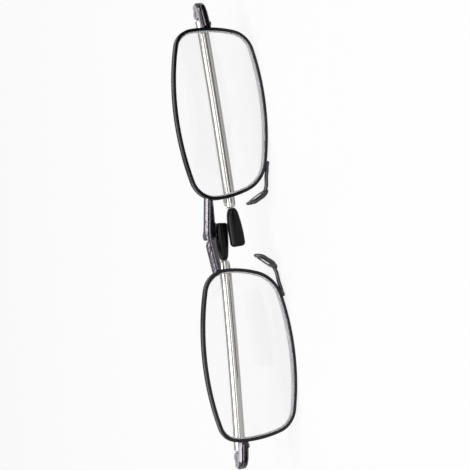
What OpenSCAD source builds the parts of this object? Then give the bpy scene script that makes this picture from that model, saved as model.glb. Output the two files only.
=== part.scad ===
// Pocket reading glasses that fold at the bridge, with telescopic temples.
// Shown folded and pushed together: the temples lie behind the lenses and
// their tips pass each other in front of the nose.
//
// +X is the wearer's left, +Y points back to the wearer's face, +Z is up.
// The drawing origin is between the lens centres, on the plane that touches
// the front of both rims' base curve. Every sub-part is drawn for the
// wearer's left and mirrored for the right. placed() then moves the whole
// model onto its base, with the middle of its bounding box over the origin.

/* [Lens shape] */
// Width of the rim's centre line
lens_w = 49.6; // [44:0.1:54]
// Height of the rim's centre line
lens_h = 28.4; // [24:0.1:34]
// Distance from the middle of the bridge to a lens centre
lens_offset = 35.2; // [33:0.1:40]
// Radius of the base curve that rim and lens front follow
base_r = 95; // [80:1:160]
// Radius of the temporal side
temporal_r = 39.6; // [32:0.1:60]
// Radius of the top side
top_r = 61.4; // [50:0.1:90]
// Radius of the nasal side
nasal_r = 31.9; // [28:0.1:50]
// Radius of the bottom side
bottom_r = 112.5; // [80:0.5:150]
// Height at which the temporal side is widest
temporal_crest = 1.1; // [-2:0.1:3]
// Place along the top at which it is highest, towards the temple
top_crest = 0.6; // [-3:0.1:3]
// Height at which the nasal side is widest
nasal_crest = 4.3; // [2:0.1:6]
// Place along the bottom at which it is lowest, towards the temple
bottom_crest = 2.3; // [-1:0.1:4]
// Radius of the lower temporal corner
low_temporal_r = 6.7; // [5:0.1:8]
// Radius of the upper temporal corner
high_temporal_r = 6.5; // [5:0.1:8]
// Radius of the upper nasal corner
high_nasal_r = 7.9; // [6:0.1:9]
// Radius of the lower nasal corner
low_nasal_r = 9.6; // [7:0.1:11]

/* [Rim and lens] */
// Width of the rim wire seen from the front
rim_face = 0.84; // [0.7:0.02:1.2]
// Depth of the rim wire from front to back
rim_depth = 1.8; // [1.5:0.1:2.4]
// Depth of the groove that holds the lens
groove_depth = 0.3; // [0.2:0.02:0.36]
// Width of the groove from front to back
groove_w = 0.8; // [0.6:0.05:1]
// Distance from the rim's front to the lens front
lens_setback = 0.5; // [0.3:0.05:0.6]
// Thickness of the lens in its middle
lens_t = 2.3; // [2:0.1:3]
// Radius of the lens's back surface
lens_back_r = 152; // [120:1:260]
// Clearance between the lens and its groove
lens_gap = 0.03; // [0.02:0.01:0.06]

/* [Bridge] */
// Distance of the bridge pin behind the rim's front plane
pin_y = 10; // [9.8:0.1:10.6]
// Height of the bridge's top at its pin above the lens centres
bridge_top = 6.1; // [5.6:0.1:6.4]
// Height of the bridge's top where it meets a rim
bridge_end_top = 7; // [6.4:0.1:7.6]
// Height of the bridge where it meets a rim
bridge_end_h = 2.3; // [1.8:0.1:3]
// Height of the bridge at its pin
bridge_mid_h = 3.4; // [3:0.1:4]
// Thickness of the bridge from front to back
bridge_t = 1.9; // [1.5:0.1:2.2]
// Radius of the bridge knuckles
knuckle_r = 1.25; // [1.1:0.05:1.35]
// Height of the middle bridge knuckle
mid_knuckle_h = 1.3; // [1:0.1:1.6]
// Place of the front seam between the bridge halves, to the wearer's right
seam_x = 0.6; // [0.3:0.1:1]
// Radius of the bridge screw's shank
bridge_screw_r = 0.6; // [0.5:0.05:0.7]
// Radius of the bridge screw's head
bridge_head_r = 0.9; // [0.8:0.05:1]

/* [End pieces] */
// Height of the left temple hinge above the lens centres
left_hinge_z = 0.7; // [0.5:0.1:0.9]
// Height of the right temple hinge, so that the folded temples pass each other
right_hinge_z = 4.3; // [4.1:0.1:4.6]
// Distance by which an end piece's middle lies below its hinge
end_drop = 0.3; // [0.2:0.05:0.4]
// Distance of the temple hinge axis outside the rim
hinge_out = 4.58; // [4.4:0.02:5.4]
// Distance of the temple hinge axis behind the rim's temporal front
hinge_back = 4; // [3.9:0.05:4.3]
// Height of an end piece
end_h = 3; // [2.8:0.1:3.1]
// Thickness of an end piece's outer wall
end_wall = 1.45; // [1.2:0.05:1.8]
// Radius of the temple hinge barrel
barrel_r = 1.5; // [1.3:0.05:1.6]
// Height of the temple leaf between the end piece's knuckles
leaf_h = 1.2; // [1:0.1:1.4]
// Radius of a hinge screw's shank
screw_r = 0.55; // [0.45:0.05:0.6]
// Radius of a hinge screw's head
head_r = 0.95; // [0.85:0.05:1]
// Height of a screw head
head_h = 0.45; // [0.35:0.05:0.6]

/* [Rim lock] */
// Length of the closing block along the end piece
block_l = 2.3; // [2:0.1:2.6]
// Height of the closing block
block_h = 1.3; // [1.1:0.1:1.5]
// Radius of the rim screw's shank
rim_screw_r = 0.45; // [0.4:0.05:0.5]
// Radius of the rim screw's head
rim_head_r = 0.72; // [0.6:0.02:0.8]

/* [Temples] */
// Outer diameter of the temple tube
tube_d = 3.5; // [3.2:0.05:3.6]
// Inner diameter of the temple tube
tube_bore = 2.7; // [2.5:0.05:2.8]
// Distance from the hinge axis to the start of the tube
tube_start = 2.2; // [2:0.1:2.6]
// Distance from the hinge axis to the end of the tube
tube_end = 55.9; // [50:0.1:57]
// Angle by which the left temple slopes down
left_droop = 2.7; // [2.6:0.1:2.9]
// Angle by which the right temple slopes down
right_droop = 3.5; // [3.3:0.1:3.6]
// Angle by which the right temple stands open behind the left one
right_turn = 2.6; // [2.5:0.1:2.8]
// Length of the leaf's plug inside the tube
plug_l = 2.9; // [2:0.1:3]
// Diameter of the sliding rod
rod_d = 1.8; // [1.6:0.05:1.9]
// Length of the collar's flange
flange_l = 0.4; // [0.3:0.05:0.6]
// Length of the collar's dome
dome_l = 1.2; // [1:0.1:1.5]
// Length of the collar inside the tube
collar_in = 2.6; // [2:0.1:4]
// Radius of the collar's mouth
mouth_r = 1.15; // [1.05:0.05:1.3]
// Length of the spring sleeve on the rod
sleeve_l = 4; // [3:0.1:5]
// Wall of the spring sleeve
sleeve_wall = 0.56; // [0.5:0.02:0.6]
// Length by which a temple pulls out
temple_travel = 43; // [35:0.5:43]

/* [Temple tips] */
// Gap between the collar and the tip when pushed together
tip_gap = 0.1; // [0.1:0.05:0.3]
// Length of a tip
tip_l = 11.4; // [9:0.1:12]
// Half width of the tip at the collar
tip_neck = 1.15; // [1.1:0.05:1.2]
// Height of the left tip's free end above the temple's axis
left_tip_up = 0.9; // [0.85:0.05:0.95]
// Depth of the left tip's free end below the temple's axis
left_tip_down = 3.2; // [2.4:0.05:3.4]
// Height of the right tip's free end above the temple's axis
right_tip_up = 1.95; // [1.4:0.05:2]
// Depth of the right tip's free end below the temple's axis
right_tip_down = 0.8; // [0.7:0.05:0.8]
// Thickness of a tip
tip_t = 2.6; // [2.2:0.1:2.6]
// Radius of the rod's tang, which the tip is moulded on
tang_r = 0.5; // [0.4:0.05:0.55]
// Length of the tang inside the tip
tang_l = 7; // [4:0.1:8]

/* [Nose pads] */
// Diameter of the pad arm's wire
arm_d = 1.15; // [1:0.05:1.3]
// Distance of the pad's middle from the middle of the bridge
pad_x = 9.55; // [9.5:0.05:10.5]
// Distance of the pad's middle behind the rim's front plane
pad_y = 5.8; // [5.4:0.1:5.8]
// Height of the pad's middle below the lens centres
pad_drop = 10.5; // [10:0.1:10.5]
// Length of a pad
pad_l = 8.2; // [7:0.1:8.2]
// Radius of a pad's lower end
pad_low_r = 2.1; // [1.8:0.05:2.1]
// Radius of a pad's upper end
pad_high_r = 1.7; // [1.4:0.05:1.8]
// Thickness of a pad
pad_t = 1.7; // [1.5:0.05:2]
// Radius of the pad's crowned nose side
pad_crown_r = 9; // [7:0.5:14]
// Angle by which the pads lean together at the top
pad_lean = 26; // [20:1:30]
// Angle by which the pads open to the back
pad_splay = 8; // [4:1:12]
// Thickness of the metal paddle inside a pad
paddle_t = 0.5; // [0.4:0.05:0.6]
// Half width of the paddle
paddle_r = 1.1; // [0.9:0.05:1.2]

/* [Fits] */
// Radial clearance of a part that turns or slides
run_gap = 0.03; // [0.02:0.01:0.05]
// Radial clearance of a part that is soldered, glued or pressed in
seat_gap = 0.02; // [0.01:0.01:0.03]
// Gap between turning faces
face_gap = 0.06; // [0.04:0.01:0.1]

/* [Hidden] */
$fn = 64;

// Curve steps of the lens outline, for a corner and for a side
corner_steps = 12;
side_steps = 12;
// Margin by which a cutting body passes the face that it cuts
over = 1;
// Depth of the chamfers on the bridge and the end pieces
chamfer = 0.55;
// Depth to which the rim screw goes into the end piece
rim_screw_grip = 0.8;
// Room round the leaf's barrel, which lets the neck turn
leaf_room = 0.5;
// Width of the leaf's neck, and its length inside the tube
neck_w = 2.6;
neck_in = 0.6;
// Width and depth of a screwdriver slot
slot_w = 0.3;
slot_depth = 0.2;
// Distance by which a screw ends before its hole
screw_short = 0.1;
// End piece: distance of its front corner outside the hinge axis and before the barrel
corner_out = 0.4;
corner_front = 1.1;
// Room between the temple tube and the outer wall
wall_room = 0.15;
// Distance by which the outer wall passes the hinge axis, and the cut of its rear corner
wall_back = 1.3;
wall_cut = 0.5;
// Distances before the hinge axis: the outer wall's front edge and its root
wall_front = 0.3;
wall_root = 0.8;
// The block round the barrel: front, back and the distance its inner side lies in the barrel
block_front = 2.2;
block_back = 0.4;
block_in = 0.15;
// The slanting outer corner: distance inside the outer face and before the hinge axis,
// and the share of the chamfer that it takes along each axis
slant_in = 0.8;
slant_front = 1.5;
slant_share = 0.7;
// Back of the arm before the hinge axis, at its outer and inner end, and its reach
arm_back_out = 1.7;
arm_back_in = 1.8;
arm_reach = 1;
// Width of the flat step round the collar's dome, and curve steps of the dome
dome_step = 0.1;
dome_steps = 8;
// Length of the rod's head behind the spring sleeve
rod_head_l = 0.6;
// Temple tip: length of its neck, place of its shoulder and the shoulder's share of the widening
neck_l = 1;
shoulder_l = 3.2;
shoulder_share = 0.75;
// Bridge: thickness of the plate before the knuckles, and the distance of the bar behind it
plate_t = 0.5;
bar_set = 0.3;
// Thickness of the sections that the bar is drawn through
section_t = 0.02;
// Depths of the bar's end behind the plate's front, at mid height and above and below
end_deep = 0.4;
end_thin = 0.2;
end_step = 0.1;
// Floor that the bridge screw's hole leaves, and the screw's distance above it
bridge_floor = 0.3;
bridge_short = 0.05;
// Room round the middle knuckle in the left half, and start of the slot's cheek
slot_room = 0.25;
slot_cheek = 0.2;
// Left half's back: overlap with the knuckles, and where it leaves the bar
back_in = 0.2;
back_edge = 0.05;
back_front = 0.6;
back_run = 2.4;
back_fall = 0.6;
// Right half's notch: reach from the pin, sides, and depth behind and before the pin
notch_reach = 3.6;
notch_side = 1.5;
notch_front = 1.3;
notch_back = 3;
// Web of the middle knuckle: root, inner side and end
web_root = 1.9;
web_side = 0.9;
web_end = [-0.7, 0.9];
// Pad arm: place of its two bends, outside the pad's middle, behind the front plane, down
arm_bend = [6.1, 4.2, -13.4];
arm_turn = [3.4, 5, -13.5];
// The first bend after the foot, and where the wire enters the pad and ends in it
foot_lift = [-0.5, 0.05, -0.15];
arm_enter = [0.9, 0, 0.7];
arm_stop = [0, 0, 2.2];
// Paddle: distance below the pad's middle, share of its upper end, distance inside the pad's end
paddle_low = 0.6;
paddle_share = 0.9;
paddle_in = 1.3;
// Share of the rim's depth at which the pad arm's foot lies
foot_share = 0.55;

rim_half = rim_face / 2;
left = 1;
right = -1;

// Lens outline

// Centres of the temporal, top, nasal and bottom sides, counterclockwise
side_r = [temporal_r, top_r, nasal_r, bottom_r];
side_centre = [
    [lens_w / 2 - temporal_r, temporal_crest],
    [top_crest, lens_h / 2 - top_r],
    [nasal_r - lens_w / 2, nasal_crest],
    [bottom_crest, bottom_r - lens_h / 2]
];
// Corners: each lies between the side before it and its own side
corner_r = [low_temporal_r, high_temporal_r, high_nasal_r, low_nasal_r];
function before(i) = (i + 3) % 4;
function after(i) = (i + 1) % 4;
// Point at distance ra from a and rb from b, on the left of the line a to b
function meeting(a, ra, b, rb) =
    let (
        gap = norm(b - a),
        along = (b - a) / gap,
        run = (ra * ra - rb * rb + gap * gap) / (2 * gap),
        rise = sqrt(ra * ra - run * run)
    )
    a + run * along + rise * [-along.y, along.x];
corner_centre = [
    for (i = [0:3])
        meeting(
            side_centre[before(i)], side_r[before(i)] - corner_r[i],
            side_centre[i], side_r[i] - corner_r[i]
        )
];
function heading(v) = atan2(v.y, v.x);
function arc(centre, r, from, to, steps) =
    let (sweep = (to - from + 720) % 360)
    [
        for (i = [0:steps - 1])
            centre + r * [cos(from + sweep * i / steps), sin(from + sweep * i / steps)]
    ];
function outline(grow) = [
    for (i = [0:3])
        let (
            start = heading(corner_centre[i] - side_centre[before(i)]),
            turn = heading(corner_centre[i] - side_centre[i]),
            end = heading(corner_centre[after(i)] - side_centre[i])
        )
        each concat(
            arc(corner_centre[i], corner_r[i] + grow, start, turn, corner_steps),
            arc(side_centre[i], side_r[i] + grow, turn, end, side_steps)
        )
];

// Distance of the base curve behind the front plane, at a point of the outline
function sag(u, v) = base_r - sqrt(base_r * base_r - u * u - v * v);

// Places that several sub-parts share
front_y = lens_setback;
base_z = -lens_h / 2 - rim_half;
rim_out_x = lens_offset + lens_w / 2 + rim_half;
rim_in_x = lens_offset - lens_w / 2 - rim_half;
rim_out_y = sag(lens_w / 2, 0);
rim_in_y = sag(lens_w / 2, nasal_crest);
hinge_x = rim_out_x + hinge_out;
hinge_y = rim_out_y + hinge_back;
function hinge_z(side) = side == left ? left_hinge_z : right_hinge_z;
function droop(side) = side == left ? left_droop : right_droop;
function turn(side) = side == left ? 0 : right_turn;
// Underside and top of an end piece, and the split under its closing block
function end_low(side) = hinge_z(side) - end_drop - end_h / 2;
function end_top(side) = end_low(side) + end_h;
function split_z(side) = end_low(side) + block_h;
// Middle of the closing block
block_x = rim_out_x + block_l / 2;
block_y = rim_out_y + rim_depth / 2;
// Ends of the collar and the tip along the temple
collar_end = tube_end + flange_l + dome_l;
tip_start = collar_end + tip_gap;
tip_end = tip_start + tip_l;
// The rearmost place is the right temple's collar or the end of its tip
right_lean = asin(cos(right_droop) * sin(right_turn));
right_end_r = min(tip_t, right_tip_up + right_tip_down) / 2;
back_y = hinge_y + max(
    (tube_end + flange_l) * sin(right_lean) + tube_d / 2 * cos(right_lean),
    (tip_end - right_end_r) * sin(right_lean) + right_end_r
);

module placed() translate([0, -(front_y + back_y) / 2, -base_z]) children();

// Draws the wearer's left as it is and mirrors it for the right
module on_side(side) mirror([side == left ? 0 : 1, 0, 0]) children();

// Upright prism of the lens outline, from y0 to y1
module lens_prism(grow, y0, y1)
    translate([lens_offset, y1, 0])
        rotate([90, 0, 0])
            linear_extrude(y1 - y0)
                polygon(outline(grow));

// Ball behind the lens whose surface lies the given depth behind the base curve
module base_ball(depth)
    translate([lens_offset, base_r, 0])
        sphere(base_r - depth, $fn = 240);

// Leaf frame: on the hinge axis, turned with the temple
module at_leaf(side)
    translate([hinge_x, hinge_y, hinge_z(side)])
        rotate([0, 0, -turn(side)])
            children();

// Temple frame: X runs from the hinge axis along the temple to its tip
module along_temple(side)
    at_leaf(side)
        rotate([0, 180 - droop(side), 0])
            mirror([0, 0, 1])
                children();

module rod_along(from, to, r) translate([from, 0, 0]) rotate([0, 90, 0]) cylinder(to - from, r = r);

// Upright screw whose head's outer face is at top: shank, then head with slot
module screw(shank_r, shank_l, cap_r)
    difference() {
        union() {
            translate([0, 0, -shank_l]) cylinder(shank_l, r = shank_r);
            translate([0, 0, -head_h]) cylinder(head_h, r = cap_r);
        }
        translate([-cap_r - over, -slot_w / 2, -slot_depth])
            cube([2 * (cap_r + over), slot_w, slot_depth + over]);
    }

// Rims and lenses

module rim(side) placed() on_side(side)
    color("#2a2a2c")
        difference() {
            intersection() {
                lens_prism(rim_half, -over, lens_w / 4);
                base_ball(0);
            }
            base_ball(rim_depth);
            lens_prism(-rim_half, -2 * over, lens_w / 3);
            difference() {
                intersection() {
                    lens_prism(groove_depth - rim_half, -over, lens_w / 4);
                    base_ball(lens_setback - lens_gap);
                }
                base_ball(lens_setback + groove_w + lens_gap);
            }
            // Slit that lets the rim open for the lens
            translate([lens_offset + lens_w / 4, 0, split_z(side)])
                cube([lens_w / 2, lens_w / 4, face_gap]);
        }

module lens(side) placed() on_side(side)
    color("#e4eef0", 0.35)
        union() {
            difference() {
                intersection() {
                    lens_prism(-rim_half - lens_gap, -over, lens_w / 4);
                    base_ball(lens_setback);
                }
                translate([lens_offset, lens_setback + lens_t + lens_back_r, 0])
                    sphere(lens_back_r, $fn = 320);
            }
            // Bevel that sits in the rim's groove
            difference() {
                intersection() {
                    lens_prism(groove_depth - rim_half - lens_gap, -over, lens_w / 4);
                    base_ball(lens_setback);
                }
                base_ball(lens_setback + groove_w);
                lens_prism(-rim_half - 2 * groove_depth, -2 * over, lens_w / 3);
            }
        }

// End pieces, rim lock and hinge

end_in_y = rim_out_y + rim_depth;
end_corner = [hinge_x + corner_out, hinge_y - barrel_r - corner_front];
end_outer_x = hinge_x + tube_d / 2 + wall_room + end_wall;
end_back_y = hinge_y + wall_back;
block_in_x = hinge_x - barrel_r + block_in;

// Upright prism of a convex plan whose outer edges are chamfered above and below:
// plan is drawn full, inset is the same plan with those edges moved in
module chamfered(side, plan, inset)
    translate([0, 0, end_low(side)])
        hull() {
            linear_extrude(end_h)
                polygon(inset);
            translate([0, 0, chamfer])
                linear_extrude(end_h - 2 * chamfer)
                    polygon(plan);
        }

// Arm from the rim to the corner, c is the inset of its front
function arm_plan(c) = [
    [rim_out_x - over, rim_out_y + c],
    [rim_out_x, rim_out_y + c],
    end_corner + [0, c],
    [hinge_x + arm_reach, hinge_y - arm_back_out],
    [block_in_x, hinge_y - arm_back_in],
    [rim_out_x + block_l, end_in_y],
    [rim_out_x - over, end_in_y]
];
// Block round the barrel
function corner_plan(c) = [
    [block_in_x, hinge_y - block_front],
    end_corner + [0, c],
    [end_outer_x - slant_in - c * slant_share, hinge_y - slant_front + c * slant_share],
    [end_outer_x - c, hinge_y - wall_front],
    [end_outer_x - end_wall, hinge_y],
    [block_in_x, hinge_y - block_back]
];
// Outer wall that covers the barrel from the side
function wall_plan(c) = [
    [end_outer_x - end_wall, hinge_y - wall_root],
    [end_outer_x - c, hinge_y - wall_front],
    [end_outer_x - c, end_back_y - wall_cut],
    [end_outer_x - wall_cut - c / 2, end_back_y],
    [end_outer_x - end_wall, end_back_y]
];

// The closing block fills this corner of the end piece
module block_space(side, gap)
    translate([rim_out_x - over, rim_out_y - over, end_low(side) - over])
        cube([over + block_l + gap, rim_depth + 2 * over, over + block_h + gap]);

// Block whose outer face touches the rim's temporal side at the end piece's height
module rim_side(side)
    let (
        reach = temporal_r + rim_half,
        lean = asin((end_low(side) + end_h / 2 - temporal_crest) / reach)
    )
    translate([lens_offset + side_centre[0].x, 0, side_centre[0].y])
        rotate([0, -lean, 0])
            translate([0, -over, -lens_w / 4])
                cube([reach, lens_w / 4, lens_w / 2]);

module end_piece(side) placed() on_side(side)
    color("#565459")
        difference() {
            union() {
                chamfered(side, arm_plan(0), arm_plan(chamfer));
                chamfered(side, corner_plan(0), corner_plan(chamfer));
                chamfered(side, wall_plan(0), wall_plan(chamfer));
                translate([hinge_x, hinge_y, end_low(side)])
                    cylinder(end_h, r = barrel_r);
            }
            rim_side(side);
            block_space(side, face_gap);
            // Room for the temple leaf
            translate([hinge_x, hinge_y, hinge_z(side) - leaf_h / 2 - face_gap])
                cylinder(leaf_h + 2 * face_gap, r = barrel_r + leaf_room);
            translate([hinge_x, hinge_y, end_low(side) - over])
                cylinder(end_h + 2 * over, r = screw_r + seat_gap);
            translate([hinge_x, hinge_y, end_top(side) - head_h])
                cylinder(head_h + over, r = head_r + seat_gap);
            translate([block_x, block_y, end_low(side) - over])
                cylinder(over + block_h + rim_screw_grip, r = rim_screw_r + seat_gap);
        }

module closing_block(side) placed() on_side(side)
    color("#4a484d")
        difference() {
            intersection() {
                chamfered(side, arm_plan(0), arm_plan(chamfer));
                block_space(side, 0);
            }
            rim_side(side);
            translate([block_x, block_y, end_low(side) - over]) {
                cylinder(block_h + 2 * over, r = rim_screw_r + seat_gap);
                cylinder(head_h + over, r = rim_head_r + seat_gap);
            }
        }

module rim_screw(side) placed() on_side(side)
    color("silver")
        translate([block_x, block_y, end_low(side)])
            mirror([0, 0, 1])
                screw(rim_screw_r, block_h + rim_screw_grip - screw_short, rim_head_r);

module hinge_screw(side) placed() on_side(side)
    color("silver")
        translate([hinge_x, hinge_y, end_top(side)])
            screw(screw_r, end_h - screw_short, head_r);

// Temples

module temple_leaf(side) placed() on_side(side)
    color("#4a484d")
        difference() {
            union() {
                translate([hinge_x, hinge_y, hinge_z(side) - leaf_h / 2])
                    cylinder(leaf_h, r = barrel_r);
                // Neck from the barrel to the tube
                at_leaf(side)
                    translate([-tube_start - neck_in, -neck_w / 2, -leaf_h / 2])
                        cube([tube_start + neck_in, neck_w, leaf_h]);
                along_temple(side)
                    rod_along(tube_start, tube_start + plug_l, tube_bore / 2 - seat_gap);
            }
            translate([hinge_x, hinge_y, hinge_z(side) - leaf_h])
                cylinder(2 * leaf_h, r = screw_r + run_gap);
        }

module temple_tube(side) placed() on_side(side)
    color("#bdbab6")
        difference() {
            along_temple(side)
                rod_along(tube_start, tube_end, tube_d / 2);
            along_temple(side)
                rod_along(tube_start - over, tube_end + over, tube_bore / 2);
            // Notch for the leaf's neck
            at_leaf(side)
                translate([-tube_start - neck_in - seat_gap, -neck_w / 2 - seat_gap, -leaf_h / 2 - seat_gap])
                    cube([tube_start, neck_w + 2 * seat_gap, leaf_h + 2 * seat_gap]);
        }

module tube_collar(side) placed() on_side(side)
    color("#d2d0cd")
        along_temple(side)
            difference() {
                union() {
                    rod_along(tube_end - collar_in, tube_end, tube_bore / 2 - seat_gap);
                    rod_along(tube_end, tube_end + flange_l, tube_d / 2);
                    translate([tube_end + flange_l, 0, 0])
                        rotate([0, 90, 0])
                            rotate_extrude()
                                polygon(dome_profile);
                }
                rod_along(tube_end - collar_in - over, collar_end + over, rod_d / 2 + run_gap);
            }

// Half section of the collar's dome, a quarter of an oval from flange to mouth
dome_profile = concat(
    [[0, 0]],
    [
        for (i = [0:dome_steps])
            let (a = 90 * i / dome_steps)
            [mouth_r + (tube_d / 2 - dome_step - mouth_r) * cos(a), dome_l * sin(a)]
    ],
    [[0, dome_l]]
);

// The rod's inner end has a neck and a head that hold the spring sleeve
neck_r = tube_bore / 2 - run_gap - sleeve_wall - seat_gap;
sleeve_start = tube_end - collar_in - temple_travel - sleeve_l - face_gap;

module slide_rod(side) placed() on_side(side)
    color("#d2d0cd")
        along_temple(side) {
            rod_along(sleeve_start - face_gap - rod_head_l, sleeve_start - face_gap, tube_bore / 2 - 2 * run_gap);
            rod_along(sleeve_start - face_gap - over / 2, sleeve_start + sleeve_l + over, neck_r);
            rod_along(sleeve_start + sleeve_l + face_gap, tip_start - seat_gap, rod_d / 2);
            rod_along(tip_start - over, tip_start + tang_l, tang_r);
        }

module spring_sleeve(side) placed() on_side(side)
    color("#c9a86a")
        along_temple(side)
            difference() {
                rod_along(sleeve_start, sleeve_start + sleeve_l, tube_bore / 2 - run_gap);
                rod_along(sleeve_start - over, sleeve_start + sleeve_l + over, neck_r + seat_gap);
                // The slit that lets the sleeve spring
                translate([sleeve_start - over, -slot_w, 0])
                    cube([sleeve_l + 2 * over, 2 * slot_w, tube_d]);
            }

// Heights of the tip's top and underside at its shoulder and at its free end
function tip_up(side) = side == left ? left_tip_up : right_tip_up;
function tip_down(side) = side == left ? left_tip_down : right_tip_down;
function shoulder(end) = tip_neck + (end - tip_neck) * shoulder_share;

// Two balls above each other, s along the temple, that fill the height from -low to high
module tip_section(s, high, low)
    let (r = min(tip_t, high + low) / 2)
    for (z = [high - r, r - low])
        translate([s, 0, z])
            sphere(r, $fn = 32);

module temple_tip(side) placed() on_side(side)
    color("#161617")
        along_temple(side)
            difference() {
                hull() {
                    rod_along(tip_start, tip_start + neck_l, tip_neck);
                    tip_section(tip_start + shoulder_l, shoulder(tip_up(side)), shoulder(tip_down(side)));
                    tip_section(tip_end - min(tip_t, tip_up(side) + tip_down(side)) / 2, tip_up(side), tip_down(side));
                }
                rod_along(tip_start - over, tip_start + tang_l + face_gap, tang_r + seat_gap);
            }

// Bridge

// The screw's axis is the middle of the bridge, at x = 0
knuckle_z = bridge_top - bridge_mid_h / 2;
bridge_front_y = pin_y - knuckle_r - face_gap - plate_t;
// Middle of the bar's section where it meets the rim and where it meets the knuckles
bar_in = [rim_in_x + over, rim_in_y + bridge_t / 2];
bridge_low = bridge_top - bridge_mid_h;
bar_out = [knuckle_r, bridge_front_y + bridge_t / 2 + bar_set];

// Section of the bridge bar with its front chamfered, seen along the bar
module bar_section(at, low, height)
    translate([at.x, at.y, low])
        rotate([90, 0, 90])
            linear_extrude(section_t)
                polygon([
                    [chamfer - bridge_t / 2, 0],
                    [bridge_t / 2, 0],
                    [bridge_t / 2, height],
                    [chamfer - bridge_t / 2, height],
                    [-bridge_t / 2, height - chamfer],
                    [-bridge_t / 2, chamfer]
                ]);

// Bar from the rim to the knuckles, with the front plate that hides them
module bridge_bar(reach)
    difference() {
        union() {
            hull() {
                bar_section(bar_in, bridge_end_top - bridge_end_h, bridge_end_h);
                bar_section(bar_out, bridge_low, bridge_mid_h);
            }
            hull() {
                bar_section(bar_out, bridge_low, bridge_mid_h);
                translate([reach, bridge_front_y + end_step, bridge_low + chamfer])
                    cube([section_t, end_deep, bridge_mid_h - 2 * chamfer]);
                translate([reach, bridge_front_y + chamfer, bridge_low])
                    cube([section_t, end_thin, bridge_mid_h]);
            }
        }
        lens_prism(rim_half, -over, lens_w / 4);
    }

// Slot for the other half's knuckle, or the part outside it
module knuckle_slot(z0, height, r)
    translate([0, pin_y, z0]) cylinder(height, r = r);

module left_bridge_half() placed()
    color("#5c5a60")
        difference() {
            union() {
                bridge_bar(-seam_x + face_gap / 2);
                translate([0, pin_y, bridge_low])
                    cylinder(bridge_mid_h, r = knuckle_r);
                // The bar's back runs straight into the knuckles
                translate([0, 0, bridge_low])
                    linear_extrude(bridge_mid_h)
                        polygon([
                            [back_in, pin_y + knuckle_r - back_edge],
                            [back_in, bridge_front_y + back_front],
                            bar_out,
                            bar_out + [back_run, -2 * back_fall],
                            bar_out + [back_run, -back_fall]
                        ]);
            }
            knuckle_slot(knuckle_z - mid_knuckle_h / 2 - face_gap, mid_knuckle_h + 2 * face_gap, knuckle_r + slot_room);
            // The middle knuckle's web passes here as the bridge folds
            translate([-over - knuckle_r, pin_y - slot_cheek, knuckle_z - mid_knuckle_h / 2 - face_gap])
                cube([over + knuckle_r, knuckle_r + over, mid_knuckle_h + 2 * face_gap]);
            translate([0, pin_y, bridge_low + bridge_floor])
                cylinder(bridge_mid_h, r = bridge_screw_r + seat_gap);
            translate([0, pin_y, bridge_top - head_h])
                cylinder(over + head_h, r = bridge_head_r + seat_gap);
        }

module right_bridge_half() placed()
    color("#77747b")
        difference() {
            union() {
                difference() {
                    mirror([1, 0, 0]) bridge_bar(seam_x + face_gap / 2);
                    knuckle_slot(bridge_low - over, bridge_mid_h + 2 * over, knuckle_r + face_gap);
                    // Notch that clears the other half's back when the bridge is folded
                    translate([0, 0, bridge_low - over])
                        linear_extrude(bridge_mid_h + 2 * over)
                            polygon([
                                [-notch_reach, pin_y],
                                [-notch_side, pin_y - notch_front],
                                [0, pin_y - notch_front],
                                [0, pin_y + notch_back],
                                [-notch_reach, pin_y + notch_back]
                            ]);
                }
                translate([0, pin_y, knuckle_z - mid_knuckle_h / 2])
                    cylinder(mid_knuckle_h, r = knuckle_r);
                // Web from the bar to the middle knuckle
                translate([0, 0, knuckle_z - mid_knuckle_h / 2])
                    linear_extrude(mid_knuckle_h)
                        polygon([
                            [-web_root, pin_y - notch_front],
                            [-web_side, pin_y - notch_front],
                            [0, pin_y],
                            [web_end.x, pin_y + web_end.y]
                        ]);
            }
            translate([0, pin_y, knuckle_z - mid_knuckle_h])
                cylinder(2 * mid_knuckle_h, r = bridge_screw_r + run_gap);
        }

module bridge_screw() placed()
    color("silver")
        translate([0, pin_y, bridge_top])
            screw(bridge_screw_r, bridge_mid_h - bridge_floor - bridge_short, bridge_head_r);

// Nose pads

// Radius of the ball at each bend of the pad arm, a little more than the wire's
bend_r = arm_d / 2 * 1.05;
// The arm's foot lies along the rim's lower nasal corner, between these directions
foot_from = 260;
foot_to = 250;
function rim_foot(a) =
    let (p = corner_centre[3] + (low_nasal_r + rim_half + bend_r + seat_gap) * [cos(a), sin(a)])
    [lens_offset + p.x, sag(p.x, p.y) + rim_depth * foot_share, p.y];
pad_middle = [pad_x, pad_y, -pad_drop];
pad_half = pad_l / 2;

// Pad frame: X points away from the nose, Y back, Z up along the pad
module in_pad() translate(pad_middle) rotate([0, -pad_lean, 0]) rotate([0, 0, -pad_splay]) children();
function pad_point(p) =
    let (
        a = -pad_splay,
        q = [p.x * cos(a) - p.y * sin(a), p.x * sin(a) + p.y * cos(a), p.z],
        b = -pad_lean
    )
    pad_middle + [q.x * cos(b) + q.z * sin(b), q.y, q.z * cos(b) - q.x * sin(b)];

// Wire route from the foot on the rim to the paddle in the pad
arm_route = [
    rim_foot(foot_from),
    rim_foot((foot_from + foot_to) / 2),
    rim_foot(foot_to) + foot_lift,
    [pad_x, 0, 0] + arm_bend,
    [pad_x, 0, 0] + arm_turn,
    pad_point(arm_enter - [0, 0, pad_half]),
    pad_point(arm_stop - [0, 0, pad_half])
];

// Outline of a shape with two round ends, up along Y
function oval(low_r, high_r, half) = concat(
    arc([0, low_r - half], low_r, 180, 360, 24),
    arc([0, half - high_r], high_r, 0, 180, 24)
);

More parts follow.
